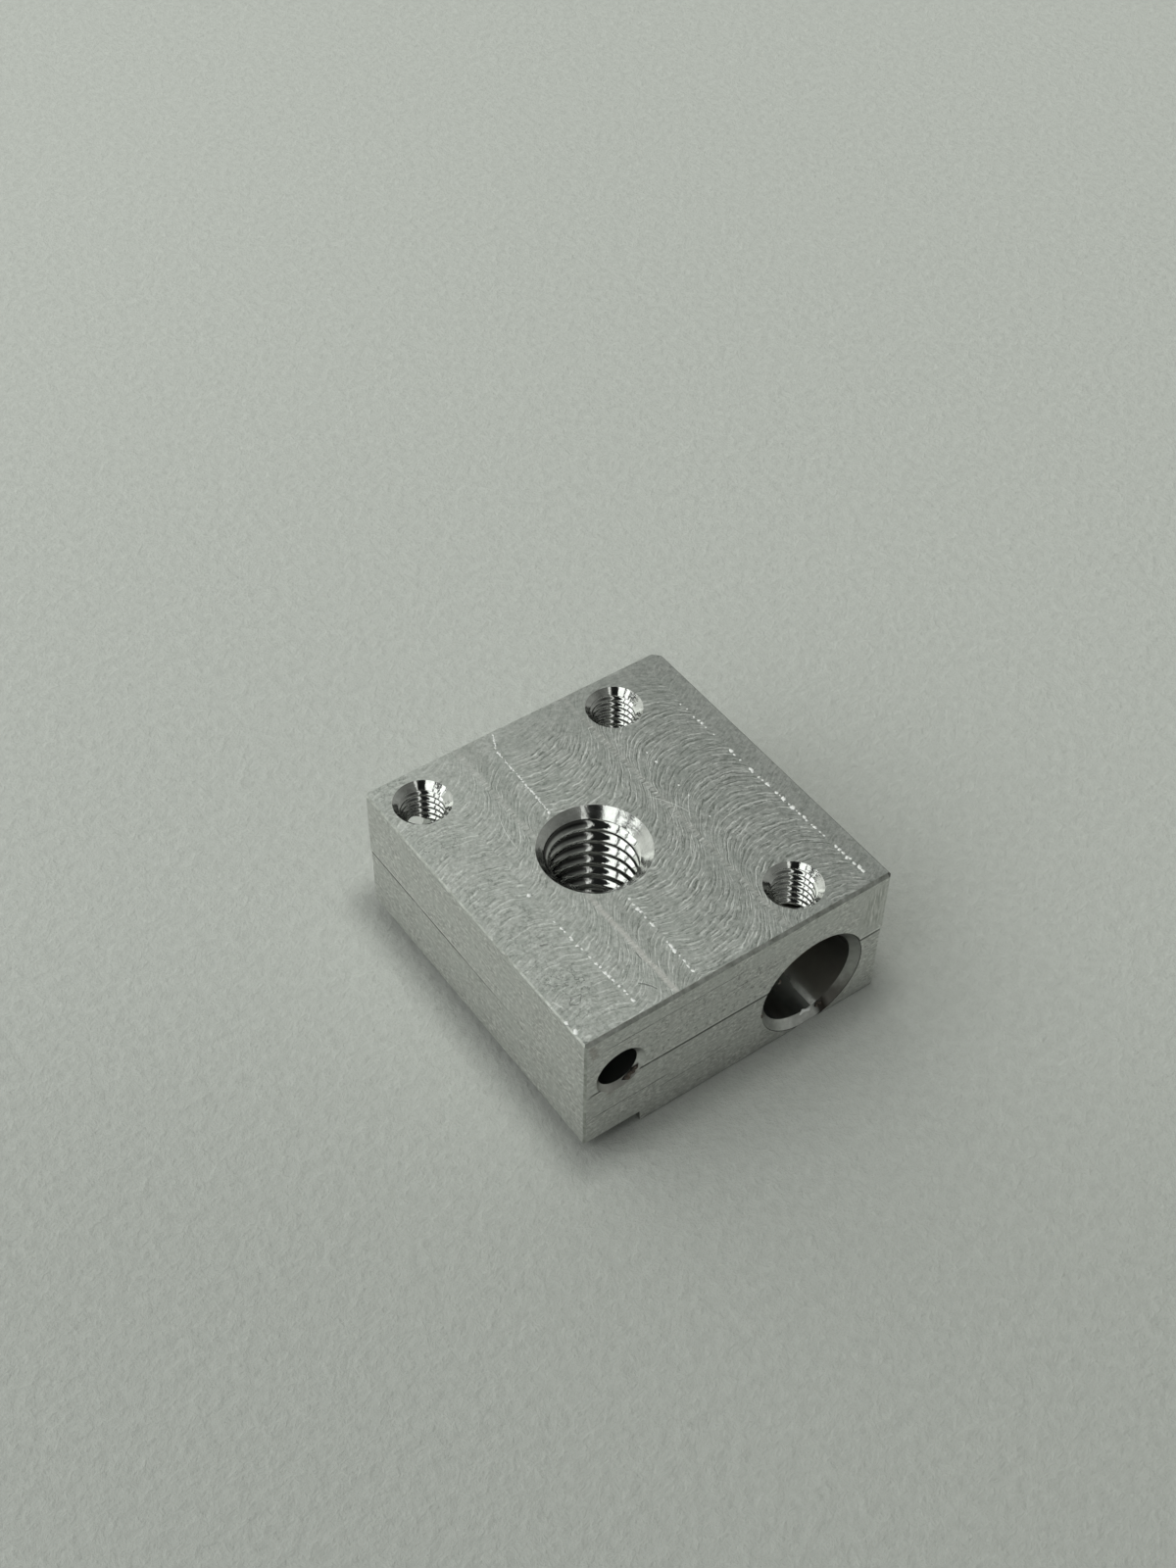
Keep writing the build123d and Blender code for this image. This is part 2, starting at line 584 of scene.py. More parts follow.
class SideMilled(Finish):
    """Aluminium side-milled in two set-ups that meet in a line a little above half height.

    The flanks look sandy and matt, a little brighter above the line than below it, with a few
    long fine lines along the feed and upright marks of the cutter near the right end of the front.
    """

    name = "side_milled_aluminium"
    relief = 0.026 * MM
    lines = (
        Stroke((1.2, 8.54), (4.8, 8.56), 0.055),
        Stroke((4.0, 8.56), (11.4, 8.52), 0.04),
        Stroke((3.3, 5.07), (12.8, 5.06), 0.065),
        Stroke((19.2, 5.07), (20.8, 5.12), 0.06),
        Stroke((0.2, 4.85), (1.3, 5.1), 0.05, 0.05),
        Stroke((0.2, 2.9), (6.2, 2.95), 0.055),
        Stroke((4.6, 2.2), (10.4, 2.25), 0.03),
        Stroke((9.0, 7.4), (14.0, 7.5), 0.025),
    )
    stains = (
        Stroke((1.4, 4.35), (3.1, 4.75), 0.32),
        Stroke((0.4, 9.6), (0.7, 8.3), 0.3),
    )

    def paint(self) -> None:
        """Lays down the sand, the two halves, the step's painted shadow and highlight, feed lines, stains.
        """
        tree = self.tree
        # Grains of a fifth of a millimetre, half as long again along the feed, plain in some
        # patches and nearly wiped out in others.
        drawn = put(tree, "Mapping", {0: self.spot, 3: (0.62, 0.62, 1.0)})
        sand = put(tree, "TexNoise", [drawn, None, 5.2, 4.0, 0.72])
        contrast = self.patches(drawn, (1.3, 3.0, 0.6), (0.35, 0.62), (1.2, 3.9))
        sand = put(tree, "Math", [sand, 0.5], operation="SUBTRACT")
        sand = put(tree, "Math", [sand, contrast, 0.5], operation="MULTIPLY_ADD", use_clamp=True)
        drift = self.patches(self.spot, (0.6, 3.0, 0.5), (0.35, 0.65), (0.0, 0.35))
        upright = put(tree, "Mapping", {0: self.spot, 3: (1.0, 1.0, 0.16)})
        bars = put(tree, "TexNoise", [upright, None, 2.2, 3.0, 0.6])
        level = put(tree, "Mapping", {0: self.spot, 3: (0.12, 0.12, 1.0)})
        ledges = put(tree, "TexNoise", [level, None, 5.0, 3.0, 0.6])
        rows = self.total(-0.01, (bars, 0.2), (ledges, 0.4), (sand, 0.7))
        lower = put(tree, "MapRange", [self.z, 5.15, 5.25, 1.0, 0.0])
        front = put(tree, "MapRange", [self.y, 0.1, 0.3, 1.0, 0.0])
        # Away from the front the line between the halves is dark, and on the left flank it dies
        # out towards the front corner.
        run = put(tree, "Mapping", {0: self.spot, 3: (0.5, 0.5, 0.0)})
        pieces = self.patches(run, (1.0, 4.0, 0.5), (0.36, 0.46), (0.5, 1.0))
        back = put(tree, "MapRange", [self.y, 6.0, 13.0])
        elsewhere = put(tree, "MapRange", [self.x, 0.3, 0.6])
        strength = self.product(self.largest(back, elsewhere), pieces)
        # The dark line under the step is painted shadow, and the pale line above it painted highlight.
        line = self.product(self.window(self.z, 4.98, 5.12, 0.05), strength)
        step_highlight = self.product(self.window(self.z, 5.24, 5.32, 0.06), strength)
        feeds = self.product(self.strokes(self.x, self.z, self.lines), front)
        dirt = self.product(self.strokes(self.x, self.z, self.stains), front)
        # Small dark tears over the middle of the front, and upright marks at its right end.
        specks = self.patches(self.spot, (2.6, 4.0, 0.7), (0.56, 0.62), (0.0, 0.45))
        middle = self.window(self.x, 4.5, 13.0, 1.0), self.window(self.z, 5.4, 8.2, 0.4)
        specks = self.product(*middle, front, specks)
        comb = self.patches(upright, (5.0, 2.0, 0.6), (0.4, 0.6))
        corner = self.window(self.x, 19.8, 20.4, 0.9), self.window(self.z, 6.5, 8.6, 1.0)
        end = self.product(*corner, front)
        tone = self.coats(
            linear("#757672"),
            (rows, "#f5f5f2"),
            (drift, "#d6d9d5"),
            (end, "#b7b9b4"),
            (self.product(end, comb), "#e9e9e6"),
            (lower, "#a3a5a1", 0.12),
            (dirt, "#8d7d76", 0.35),
            (specks, "#5a5b57"),
            (step_highlight, "#f4f4f1", 0.45),
            (line, "#3a3b37", 0.8),
            (feeds, "#3f403c", 0.6),
        )
        gloss = put(tree, "MapRange", [sand, 0.0, 1.0, 0.44, 0.54])
        height = self.total(rows, (line, -0.6), (feeds, -0.6))
        self.surface(tone, gloss, height, self.relief)


class EdgeBreak(Finish):
    """Thin bevel left by a file along the edges: dull, a little darker than the faces.

    A dark line runs in it along the foot, as painted contact shadow, and down the right side.
    """

    name = "filed_aluminium_edge"
    relief = 0.012 * MM

    def paint(self) -> None:
        """Mottles the tone and the relief slightly, and draws the dark line."""
        grain = self.patches(self.spot, (2.2, 3.0, 0.6), (0.3, 0.7))
        # Along the foot the dark line is painted contact shadow.
        foot, right = self.window(self.z, -1.0, 0.12, 0.1), self.window(self.x, 20.85, 22.0, 0.05)
        dark = self.largest(foot, right)
        tone = self.coats(linear("#979993"), (grain, "#cfd1cd"), (dark, "#4b4b47", 0.7))
        self.surface(tone, 0.44, grain, self.relief)


class MouthChamfer(Finish):
    """Chamfer turned round the mouth of a cross bore: smooth and pale, with a faint tooth.

    The big one has a dark rim, and on the right it turns brown and dark towards the bottom edge.
    """

    name = "turned_aluminium_chamfer"
    relief = 0.008 * MM

    def paint(self) -> None:
        """Adds the tooth, slow pale patches, a dark rim and the browned foot."""
        tree = self.tree
        film = self.patches(self.spot, (1.6, 4.0, 0.6), (0.3, 0.7))
        fine = put(tree, "TexNoise", [self.spot, None, 6.0, 3.0, 0.6])
        _, reach = self.around("heater_bore", (1.0, 0.0, 1.0))
        rim = self.window(reach, 3.63, 3.8, 0.03)
        ragged = self.total(self.z, (film, 0.5))
        shade = put(tree, "MapRange", [ragged, 1.2, 3.4, 0.85, 0.0])
        shade = self.product(shade, self.window(self.x, 17.3, 21.0, 0.3))
        # The small one is painted darker below.
        darker_below = put(tree, "MapRange", [self.z, 4.9, 5.6, 0.5, 0.0])
        darker_below = self.product(darker_below, self.window(self.x, 0.0, 5.0, 0.1))
        foot = put(tree, "MapRange", [ragged, 0.9, 1.4, 0.95, 0.0])
        foot = self.product(foot, self.window(self.x, 17.0, 17.3, 0.4))
        # Painted shade: the big chamfer grows darker towards the right.
        right = put(tree, "MapRange", [self.x, 16.0, 18.5, 0.0, 0.45])
        tone = self.coats(
            linear("#b3b4b1"),
            (film, "#dcddda"),
            (right, "#8c8d89"),
            (rim, "#4d4d49"),
            (darker_below, "#847f79"),
            (shade, "#5c5853"),
            (foot, "#2f2925"),
        )
        self.surface(tone, 0.3, fine, self.relief)


class TappedMetal(Finish):
    """Freshly cut aluminium of countersinks and threads: bright, nearly a mirror.

    Fine rings run round each countersink where the tool turned.  shady is the direction, seen
    from above, of the side of the wide thread that lies in the deepest shade.
    """

    name = "tapped_aluminium"
    relief = 0.006 * MM
    shady = (-0.81, 0.59, 0.0)

    def paint(self) -> None:
        """Adds faint tool rings by height, a light tarnish and the shade of the deep roots."""
        tree = self.tree
        level = put(tree, "CombineXYZ", {2: self.product(self.z, 9.0)})
        rings = put(tree, "TexNoise", [level, None, 1.0, 3.0, 0.6])
        film = put(tree, "TexNoise", [self.spot, None, 2.6, 4.0, 0.6])
        # The wide countersink is the least glossy.
        flat, reach = self.around("nozzle_thread", (1.0, 1.0, 0.0))
        wide = self.product(self.window(self.z, 9.3, 10.0, 0.1), self.window(reach, 0.0, 4.0, 0.1))
        gloss = put(tree, "MapRange", [film, 0.3, 0.7, 0.03, 0.08])
        gloss = self.total(gloss, (wide, 0.07))
        # The roots of the wide thread lie in the deepest shade towards the left at the back.  The
        # paint deepens it, because the soft room alone leaves them too bright.
        root, below = self.window(reach, 2.8, 3.1, 0.1), self.window(self.z, 0.0, 9.15, 0.1)
        aside = put(tree, "VectorMath", [flat, self.shady], out="Value", operation="DOT_PRODUCT")
        deep = self.product(put(tree, "MapRange", [aside, 0.0, 0.7]), root, below)
        tone = self.coats(linear("#a9aaa7"), (film, "#e4e5e2"), (deep, "#2e2d2b", 0.9))
        # A very fine roughness breaks up what the bright metal mirrors.
        tooth = put(tree, "TexNoise", [self.spot, None, 4.0, 3.0, 0.6])
        self.surface(tone, gloss, self.total(tooth, (rings, 0.3)), self.relief)


class DrilledMetal(Finish):
    """Drilled wall of the cross bores: grey and dull, with fine rings round the axis.

    On the lower wall of the heater bore a pale stripe runs in from the front, and to its right
    the wall is brownish.
    """

    name = "drilled_aluminium"
    relief = 0.012 * MM

    def paint(self) -> None:
        """Rings along Y from the drill, the brown side and the matt pale stripe of painted highlight."""
        tree = self.tree
        level = put(tree, "CombineXYZ", [self.product(self.y, 14.0)])
        rings = put(tree, "TexNoise", [level, None, 1.0, 3.0, 0.6])
        film = put(tree, "TexNoise", [self.spot, None, 1.4, 4.0, 0.6])
        brown = put(tree, "MapRange", [self.z, 2.0, 5.5, 0.65, 0.0])
        brown = self.product(self.window(self.x, 17.5, 21.0, 1.1), brown)
        low = put(tree, "MapRange", [self.z, 2.4, 2.8, 1.0, 0.0])
        fading = put(tree, "MapRange", [self.y, 0.8, 2.7, 1.0, 0.0])
        blots = self.patches(self.spot, (4.0, 3.0, 0.6), (0.38, 0.58), (0.45, 1.0))
        # The pale stripe on the lower wall is a painted highlight.
        highlight_stripe = self.product(low, fading, self.window(self.x, 16.74, 16.9, 0.16), blots)
        tone = self.coats(
            linear("#aeb0ad"), (film, "#dcdedb"), (brown, "#8b8177"), (highlight_stripe, "#f7f7f4")
        )
        gloss = self.total(0.22, (brown, 0.22), (highlight_stripe, 0.4))
        self.surface(tone, gloss, rings, self.relief, metallic=self.total(1.0, (highlight_stripe, -1.0)))


class BrightGrain(Finish):
    """Tiny torn grain of aluminium, painted near white as a glint: it sparkles.

    It is near white and hardly metallic, because a mirror as small as this would mostly show the
    dim parts of the room.
    """

    name = "burnished_aluminium_grain"

    def paint(self) -> None:
        """Mottles two whites finely."""
        grain = put(self.tree, "TexNoise", [self.spot, None, 11.0, 2.0])
        tone = self.cover(linear("#f4f5f3"), grain, "#ffffff")
        self.surface(tone, 0.3, metallic=0.15)


class BurntCrust(Finish):
    """Baked-on residue: a crust from near black through grey brown to pale grey, quite matt."""

    name = "baked_residue"
    relief = 0.05 * MM

    def paint(self) -> None:
        """Mottles the three tones and roughens the surface."""
        tree = self.tree
        blot = put(tree, "TexNoise", [self.spot, None, 3.2, 4.0, 0.6])
        dark = put(tree, "MapRange", [blot, 0.4, 0.52])
        pale = put(tree, "MapRange", [blot, 0.55, 0.64])
        tone = self.coats(linear("#1d1a17"), (dark, "#5d5249"), (pale, "#a3a29c"))
        self.surface(tone, 0.7, blot, self.relief, metallic=0.0)


# ------------------------------------------------------------------------------------ block


class Skin(IntEnum):
    """Kinds of surface on the block, in the order of its materials."""

    TOP = 0
    FLANK = 1
    EDGE = 2
    THREAD = 3
    BORE = 4
    MOUTH = 5


@dataclass
class TappedHole:
    """A metric internal thread cut into one of the block's tapped holes.

    Sizes in metres.  minor and major are the radii at the crests and at the roots, and mouth that
    of the countersink's rim.  bottom and top are the heights that the thread is cut between.  turn
    is the height of a crest on the +X side, as a share of the pitch, crest and root are the shares
    of the pitch at which the climb from the one to the other starts and ends, and straight is the
    share of a straight line in that climb.
    """

    name: str
    minor: float
    major: float
    pitch: float
    turn: float
    bottom: float
    mouth: float
    columns: int
    top: float = float(HIGH[2]) + 0.3 * MM
    crest: float = 0.06
    root: float = 0.47
    straight: float = 0.35
    rows: int = 18

    def profile(self, share: np.ndarray) -> np.ndarray:
        """Gives the radius of the thread over one pitch.

        The share runs from crest to crest.  The radius stays at the minor value on the crest,
        climbs to the root, stays there and falls again.  The climb is part straight line and
        part half cosine wave, which gives softly rounded flanks.

        Args:
            share: heights as shares of the pitch.

        Returns:
            Radii in metres.
        """
        away = np.abs(((share + 0.5) % 1.0) - 0.5)
        climb = np.clip((away - self.crest) / (self.root - self.crest), 0.0, 1.0)
        eased = self.straight * climb + (1 - self.straight) * (0.5 - 0.5 * np.cos(np.pi * climb))
        return self.minor + (self.major - self.minor) * eased

    def plug(self) -> tuple[np.ndarray, list[np.ndarray]]:
        """Builds the closed screw-shaped body that the hole is cut with.

        Column j of the grid stands at the angle j / columns of a turn, and row i at the height
        (i / rows + j / columns + turn) * pitch, so crests follow the rows and the last column
        meets the first one a whole pitch higher.  A fan of triangles closes each end.

        Returns:
            Corner array and face arrays.
        """
        middle = place(self.name)
        across, upward = self.columns, self.rows
        first = math.floor(self.bottom / self.pitch - self.turn)
        count = (math.ceil((self.top - self.bottom) / self.pitch) + 2) * upward + 1
        i = np.arange(count)[:, None]
        j = np.arange(across)[None, :]
        share = first + i / upward + 0 * j
        angle = 2 * np.pi * j / across + 0 * i
        z = (share + self.turn + j / across) * self.pitch
        r = self.profile(share)
        grid = np.stack([middle[0] + r * np.cos(angle), middle[1] + r * np.sin(angle), z], -1)
        index = i * across + j
        right = np.where(j < across - 1, index + 1, index + 1 + (upward - 1) * across)
        quads = np.stack([index, right, right + across, index + across], -1)[:-1]
        quads = quads[(quads < count * across).all(-1)]
        low = np.concatenate([index[0], index[upward:0:-1, 0]])
        high = np.concatenate([index[-1], index[-2 : -2 - upward : -1, -1]])
        hubs = np.array([[middle[0], middle[1], grid[end, :, 2].mean()] for end in (0, -1)])
        corners = np.vstack([grid.reshape(-1, 3), hubs])
        hub = count * across
        floor = np.stack([np.full(len(low), hub), np.roll(low, -1), low], -1)
        roof = np.stack([high, np.roll(high, -1), np.full(len(high), hub + 1)], -1)
        return corners, [quads, floor, roof]


@dataclass
class Block:
    """The milled block: a copy of the solid with its threads cut and its faces dressed.

    Sizes in metres.  sink is how far the top is sunk.  A face within skin of the block's box is on
    its outside, one that looks down from below relief_roof is a flank, and one within wall of a
    cross bore's radius may be its wall.  cone_reach is how far a countersink reaches past the
    thread's crests, and near how closely a point has to lie on a true cone or cylinder.  A face is
    square to an axis where more than level of its normal lies along it.  mouths gives, for each
    cross bore, how far its chamfer reaches past its wall.
    """

    sink: float = 0.02 * MM
    skin: float = 0.3 * MM
    relief_roof: float = 1.2 * MM
    wall: float = 0.1 * MM
    cone_reach: float = 0.86 * MM
    near: float = 0.02 * MM
    level: float = 0.99
    crease: float = math.radians(32)
    mouths: dict[str, float] = field(
        default_factory=lambda: {"heater_bore": 0.75 * MM, "sensor_bore": 0.55 * MM}
    )
    holes: list[TappedHole] = field(default_factory=list)

    def __post_init__(self) -> None:
        """Sets out the four threads: M6 for the nozzle and M3 for the three set screws."""
        wide, narrow = radius_of("nozzle_thread"), radius_of("sensor_screw")
        self.holes = [
            TappedHole(
                name="nozzle_thread",
                minor=wide + 0.03 * MM,
                major=wide + 0.47 * MM,
                pitch=1.0 * MM,
                turn=0.40,
                bottom=-0.6 * MM,
                mouth=3.35 * MM,
                columns=144,
            )
        ]
        for name, bore, turn in (
            ("front_heater_screw", "heater_bore", 0.40),
            ("back_heater_screw", "heater_bore", 0.06),
            ("sensor_screw", "sensor_bore", 0.92),
        ):
            self.holes.append(
                TappedHole(
                    name=name,
                    minor=narrow + 0.015 * MM,
                    major=narrow + 0.235 * MM,
                    pitch=0.5 * MM,
                    turn=turn,
                    bottom=float(place(bore)[2]) + 0.4 * MM,
                    mouth=1.75 * MM,
                    columns=80,
                )
            )

    def solid_copy(self) -> bpy.types.Object:
        """Copies the solid's mesh, merges its loose triangles and sinks its top a hair.

        The sink leaves room inside the block's box for the grains that stand on the top.

        Returns:
            The copy.
        """
        made = bpy.data.objects.new("dressed_block", frame["nodes"][NODE].data.copy())
        made.data.name = "dressed_block"
        made.data.attributes.remove(made.data.attributes["custom_normal"])
        bpy.context.scene.collection.objects.link(made)
        weld = made.modifiers.new("weld", "WELD")
        weld.merge_threshold = 1e-7
        self.settle(made)
        spots = read(made.data.vertices, "co")
        spots[:, 2] -= np.where(spots[:, 2] > HIGH[2] - self.skin, self.sink, 0.0)
        made.data.vertices.foreach_set("co", spots.ravel())
        made.data.update()
        return made

    def settle(self, thing: bpy.types.Object) -> None:
        """Applies an object's modifiers to its mesh.

        Args:
            thing: the object, which is changed.
        """
        graph = bpy.context.evaluated_depsgraph_get()
        done = bpy.data.meshes.new_from_object(thing.evaluated_get(graph), depsgraph=graph)
        thing.modifiers.clear()
        thing.data = done

    def cut_threads(self, body: bpy.types.Object) -> None:
        """Takes the screw-shaped plugs out of the body.

        Args:
            body: the block, which is changed.
        """
        corners, faces, start = [], [], 0
        for hole in self.holes:
            points, blocks = hole.plug()
            corners.append(points)
            faces.extend(block + start for block in blocks)
            start += len(points)
        plugs = make_object("thread_plugs", np.vstack(corners), faces)
        cut = body.modifiers.new("threads", "BOOLEAN")
        cut.operation, cut.solver, cut.object = "DIFFERENCE", "EXACT", plugs
        self.settle(body)
        bpy.data.objects.remove(plugs)
        # The cut may round a corner outwards by a few billionths of a metre.
        spots = read(body.data.vertices, "co")
        body.data.vertices.foreach_set("co", np.clip(spots, LOW, HIGH).ravel())

    def sort_faces(self, centre: np.ndarray, normal: np.ndarray) -> np.ndarray:
        """Tells which kind of surface each face is, from where it lies and which way it looks.

        Args:
            centre: face centres in metres.
            normal: face normals.

        Returns:
            Skin numbers.
        """
        inward = np.minimum(centre - LOW, HIGH - centre)
        kind = np.full(len(centre), Skin.BORE)
        slanted = np.abs(normal).max(1) < self.level
        outer = (inward < self.skin).any(1)
        upright = np.abs(normal[:, :2]).max(1) > self.level
        upward, downward = normal[:, 2] > self.level, normal[:, 2] < -self.level
        kind[slanted & outer] = Skin.EDGE
        kind[~slanted & outer & upright] = Skin.FLANK
        kind[~slanted & downward & (centre[:, 2] < self.relief_roof)] = Skin.FLANK
        for bore, reach in self.mouths.items():
            axis, radius = place(bore), radius_of(bore)
            gap = np.hypot(centre[:, 0] - axis[0], centre[:, 2] - axis[2])
            frontward = np.abs(normal[:, 1])
            kind[(gap < radius + self.wall) & (frontward < 0.9)] = Skin.BORE
            past = (gap < radius + reach) & (gap >= radius + 0.001 * MM)
            kind[past & slanted & (frontward > 0.5)] = Skin.MOUTH
        for hole in self.holes:
            axis = place(hole.name)
            gap = np.hypot(centre[:, 0] - axis[0], centre[:, 1] - axis[1])
            above = centre[:, 2] > hole.bottom + hole.pitch
            within = gap < hole.minor + self.cone_reach
            kind[within & (normal[:, 2] < self.level) & (normal[:, 2] > -self.level) & above] = Skin.THREAD
        kind[upward & (inward[:, 2] < 0.1 * MM)] = Skin.TOP
        return kind

    def true_normals(self, body: bpy.types.Object) -> None:
        """Gives countersinks and cross bores the normals of a true cone and a true cylinder.

        On a cone of ninety degrees the normal leans half inwards and half up; on a bore it points
        straight at the axis.  All other corners keep the normals of their faces.

        Args:
            body: the block, which is changed.
        """
        mesh = body.data
        mesh.set_sharp_from_angle(angle=self.crease)
        normal = read(mesh.corner_normals, "vector")
        vertex = read(mesh.loops, "vertex_index", 1, np.int64).ravel()
        spots = read(mesh.vertices, "co")[vertex]
        sizes = read(mesh.polygons, "loop_total", 1, np.int64).ravel()
        face = np.repeat(read(mesh.polygons, "normal"), sizes, axis=0)
        for hole in self.holes:
            out = spots[:, :2] - place(hole.name)[:2]
            gap = np.hypot(out[:, 0], out[:, 1])
            # On the cone, the distance from the axis and the depth add up to the mouth's radius.
            depth = np.abs(spots[:, 2] - HIGH[2] + self.sink)
            cone = (np.abs(np.abs(face[:, 2]) - math.sqrt(0.5)) < 0.02) & (gap < hole.major + 0.5 * MM)
            cone &= np.abs(gap + depth - hole.mouth) < 1.5 * self.near
            lean = np.stack([-out[:, 0] / gap, -out[:, 1] / gap, np.ones(len(gap))], -1)
            normal[cone] = lean[cone] * math.sqrt(0.5)
        for bore in self.mouths:
            axis, radius = place(bore), radius_of(bore)
            out = spots[:, [0, 2]] - axis[[0, 2]]
            gap = np.hypot(out[:, 0], out[:, 1])
            wall = (np.abs(gap - radius) < self.near) & (np.abs(face[:, 1]) < 0.01)
            lean = np.stack([-out[:, 0] / gap, np.zeros(len(gap)), -out[:, 1] / gap], -1)
            normal[wall] = lean[wall]
        mesh.normals_split_custom_set(normal.tolist())

    def build(self) -> bpy.types.Object:
        """Makes the dressed block in place of the plain solid.

        Returns:
            The finished object.
        """
        body = self.solid_copy()
        self.cut_threads(body)
        mesh = body.data
        mesh.polygons.foreach_set("use_smooth", np.full(len(mesh.polygons), True))
        kinds = self.sort_faces(read(mesh.polygons, "center"), read(mesh.polygons, "normal"))
        mesh.materials.clear()
        for finish in (FaceMilled, SideMilled, EdgeBreak, TappedMetal, DrilledMetal, MouthChamfer):
            mesh.materials.append(finish().material)
        mesh.polygons.foreach_set("material_index", kinds.astype(np.int32))
        self.true_normals(body)
        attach(body, "root")
        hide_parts(NODE)
        return body


# ------------------------------------------------------------------------- grains and burrs


@dataclass
class GrainRow:
    """A row of torn grains, as a cutter leaves where two passes overlap and along an edge.

    Ends, the step between grains and their size are in millimetres, ends from the left, front and
    bottom faces.  gaps is the share of grains that are missing.
    """

    start: tuple[float, float, float]
    end: tuple[float, float, float]
    step: float
    size: float
    gaps: float
    seed: int


@dataclass
class Grains:
    """All the small grains left on the block by the cutters, made bright as painted glints.

    top, the level that the grains on the top sit at, height, half the height of a grain, and
    wander, how far a grain strays from its row, are in millimetres.  spread and ragged are the spreads, in
    logarithms, of the sizes and of the distance of a grain's corners from its middle.  stretch
    gives the least and the most length along the row.
    """

    top: float = (HIGH[2] - LOW[2]) / MM - 0.02
    height: float = 0.02
    wander: float = 0.02
    spread: float = 0.26
    ragged: float = 0.3
    ragged_seed: int = 31
    stretch: tuple[float, float] = (0.9, 1.7)
    rings: int = 6
    columns: int = 8
    rows: list[GrainRow] = field(default_factory=list)

    def __post_init__(self) -> None:
        """Sets out the rows on the top, along its left edge and on the left flank."""
        z = self.top
        self.rows = [
            GrainRow((3.5, 10.5, z), (3.55, 7.6, z), 0.8, 0.055, 0.35, 3),
            GrainRow((3.55, 7.6, z), (3.9, 1.0, z), 0.38, 0.08, 0.16, 4),
            GrainRow((8.75, 21.75, z), (8.2, 20.6, z), 0.14, 0.06, 0.1, 5),
            GrainRow((8.15, 20.4, z), (7.95, 14.6, z), 0.15, 0.05, 0.15, 6),
            GrainRow((7.85, 7.1, z), (7.68, 0.65, z), 0.38, 0.08, 0.06, 7),
            GrainRow((19.4, 17.6, z), (19.45, 12.0, z), 0.4, 0.075, 0.35, 8),
            GrainRow((19.45, 12.0, z), (19.8, 0.6, z), 0.33, 0.085, 0.15, 9),
            GrainRow((15.35, 16.6, z), (15.25, 6.8, z), 1.5, 0.07, 0.35, 10),
            GrainRow((0.1, 9.0, z - 0.06), (0.1, 0.9, z - 0.06), 0.5, 0.05, 0.45, 11),
            GrainRow((0.13, 2.6, z), (0.13, 0.5, z), 1.05, 0.13, 0.0, 14),
            GrainRow((0.03, 2.2, 5.17), (0.03, 0.4, 5.17), 0.33, 0.055, 0.1, 12),
        ]

    def ball(self) -> tuple[np.ndarray, list[np.ndarray]]:
        """Makes one closed grain of unit radius: rings of corners, and a flat cap at each end.

        A point at ring i and column j is (sin a cos b, sin a sin b, cos a), with a from nearly
        nought to nearly half a turn and b a whole turn.

        Returns:
            Corner array and face arrays.
        """
        a = np.linspace(0.12, np.pi - 0.12, self.rings)[:, None]
        b = np.linspace(0, 2 * np.pi, self.columns + 1)[None, :-1]
        grid = np.stack([np.sin(a) * np.cos(b), np.sin(a) * np.sin(b), np.cos(a) + 0 * b], -1)
        corners, faces = mesh_from_grid(grid[::-1], False, True)
        cap = np.arange(self.columns)
        return corners, [faces, cap[None, ::-1], (cap + (self.rings - 1) * self.columns)[None, :]]

    def scatter(self, row: GrainRow) -> tuple[np.ndarray, np.ndarray]:
        """Sets out the grains of one row.

        Grain i of n lies at the share (i + a random part of a step) / n of the row.

        Args:
            row: the row.

        Returns:
            Places and half sizes in millimetres.
        """
        rng = np.random.default_rng(row.seed)
        way = np.subtract(row.end, row.start)
        count = max(2, int(np.linalg.norm(way) / row.step))
        share = (np.arange(count) + rng.uniform(0.2, 0.8, count)) / count
        keep = rng.random(count) > row.gaps
        spots = np.array(row.start) + share[:, None] * way
        spots[:, 0] += rng.normal(0, self.wander, count)
        size = row.size * rng.lognormal(0, self.spread, count)[keep]
        long = size * rng.uniform(*self.stretch, len(size))
        return spots[keep], np.stack([size, long, np.full(len(size), self.height)], -1)

    def build(self) -> bpy.types.Object:
        """Scatters the grains along their rows, each with its own size and ragged outline.

        Returns:
            One object that holds all the grains.
        """
        ball, faces = self.ball()
        spots, sizes = zip(*[self.scatter(row) for row in self.rows])
        spot, size = LOW + np.vstack(spots) * MM, np.vstack(sizes) * MM
        rng = np.random.default_rng(self.ragged_seed)
        lumpy = rng.lognormal(0, self.ragged, (len(spot), len(ball), 1))
        corners = spot[:, None, :] + size[:, None, :] * ball[None, :, :] * lumpy
        corners = np.clip(corners, LOW, HIGH)
        offset = (np.arange(len(spot)) * len(ball))[:, None, None]
        blocks = [(block[None] + offset).reshape(-1, block.shape[1]) for block in faces]
        made = make_object("cutter_grains", corners.reshape(-1, 3), blocks)
        made.data.materials.append(BrightGrain().material)
        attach(made, "root")
        return made


